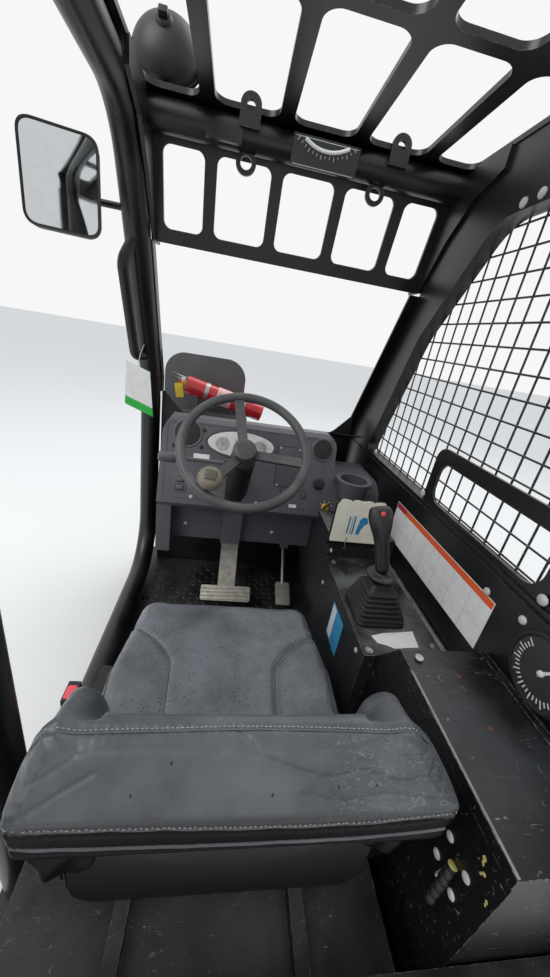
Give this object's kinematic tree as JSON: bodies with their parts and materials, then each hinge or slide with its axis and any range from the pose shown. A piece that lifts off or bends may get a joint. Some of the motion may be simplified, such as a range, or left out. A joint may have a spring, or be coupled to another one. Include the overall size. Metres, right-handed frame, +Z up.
{
  "type": "telehandler operator cab",
  "caption": "Open operator's cab of a compact telescopic handler: tube hoop, slotted roof and front guards, wire side screen, seat, dash, steering wheel, joystick and pedals.",
  "frame": {"origin": "middle of the four cab mounting bolts, on the underside of the base frame", "axes": "+X to the operator's right, +Y forward, +Z up"},
  "size_m": [1.1956, 1.707, 1.882],
  "materials": {
    "frame_paint": "satin black paint, chipped at edges",
    "console_paint": "worn black paint",
    "worn_paint": "scuffed black paint",
    "dash_plastic": "grained moulding",
    "dark_plastic": "grained moulding",
    "wheel_plastic": "soft moulded rim",
    "knob_plastic": "dull",
    "lens": "clear lens",
    "boot_rubber": "dull",
    "seat_vinyl": "grained vinyl",
    "chart_card": "printed card",
    "red_plastic": "gloss",
    "pedal_aluminium": "worn cast",
    "mirror_shell": "dull",
    "grey_plastic": "faded",
    "extinguisher_red": "gloss",
    "gauge_plate": "printed plate"
  },
  "bodies": {
    "cab": {"base_frame": "frame_paint", "floor_plate": "frame_paint", "left_hoop": "frame_paint", "header_gussets": "frame_paint", "right_frame": "frame_paint", "right_wall": "frame_paint", "side_window_frame": "frame_paint", "side_screen": "frame_paint", "rear_frame": "frame_paint", "roof_guard": "frame_paint", "header_tube": "frame_paint", "front_guard": "frame_paint", "slope_gauges": "gauge_plate", "dash_housing": "dash_plastic", "instrument_cluster": "lens", "dash_controls": "dark_plastic", "front_cowl": "dark_plastic", "steering_column": "dark_plastic", "direction_lever": "dark_plastic", "pedal_brackets": "frame_paint", "console": "console_paint", "boot_base": "boot_rubber", "chart_holder": "frame_paint", "chart_book": "chart_card", "side_box": "worn_paint", "latch_lever": "dark_plastic", "seat_deck": "frame_paint", "grab_handle": "boot_rubber", "mirror_arm": "frame_paint", "lamp_bracket": "frame_paint", "front_panel": "grey_plastic", "extinguisher": "extinguisher_red"},
    "seat_slide": {"seat_pan": "frame_paint", "seat_cushion": "seat_vinyl", "belt_buckle": "red_plastic"},
    "seat_back": {"back_frame": "frame_paint", "back_cushion": "seat_vinyl"},
    "wheel": {"steering_wheel": "wheel_plastic"},
    "knob": {"spinner_knob": "knob_plastic"},
    "brake": {"brake_pedal": "pedal_aluminium"},
    "accelerator": {"accelerator_pedal": "pedal_aluminium"},
    "stick": {"joystick": "wheel_plastic", "boot_collar": "boot_rubber"},
    "mirror": {"mirror_head": "mirror_shell"},
    "lamp": {"work_lamp": "dark_plastic"}
  },
  "joints": [
    {"name": "seat_slide", "type": "slide", "parent": "cab", "child": "seat_slide", "axis": [0, 1, 0], "range_m": [0, 0.12]},
    {"name": "seat_back_fold", "type": "hinge", "parent": "seat_slide", "child": "seat_back", "pos_m": [-0.095, -0.425, 0.454], "axis": [-1, 0, 0], "range_deg": [0, 60]},
    {"name": "steering_turn", "type": "hinge", "parent": "cab", "child": "wheel", "pos_m": [-0.095, 0.26, 0.884], "axis": [0, -0.682, 0.7314], "continuous": true},
    {"name": "spinner_turn", "type": "hinge", "parent": "wheel", "child": "knob", "pos_m": [-0.18119, 0.17932, 0.80876], "axis": [0, -0.682, 0.7314], "continuous": true},
    {"name": "brake_press", "type": "hinge", "parent": "cab", "child": "brake", "pos_m": [-0.084, 0.716, 0.437], "axis": [1, 0, 0], "range_deg": [0, 12], "stiffness_Nm_per_rad": 60, "springref_deg": -11.46},
    {"name": "accelerator_press", "type": "hinge", "parent": "cab", "child": "accelerator", "pos_m": [0.171, 0.72, 0.29], "axis": [1, 0, 0], "range_deg": [0, 10], "stiffness_Nm_per_rad": 20, "springref_deg": -11.46},
    {"name": "joystick_tilt", "type": "hinge", "parent": "cab", "child": "stick", "pos_m": [0.282, 0.02, 0.562], "axis": [-1, 0, 0], "range_deg": [-15, 15], "stiffness_Nm_per_rad": 8},
    {"name": "mirror_swivel", "type": "hinge", "parent": "cab", "child": "mirror", "pos_m": [-0.628, 0.51017, 1.447], "axis": [0, 0, 1], "range_deg": [-30, 30]},
    {"name": "work_lamp_tilt", "type": "hinge", "parent": "cab", "child": "lamp", "pos_m": [-0.401, 0.615, 1.799], "axis": [1, 0, 0], "range_deg": [-25, 25]}
  ]
}
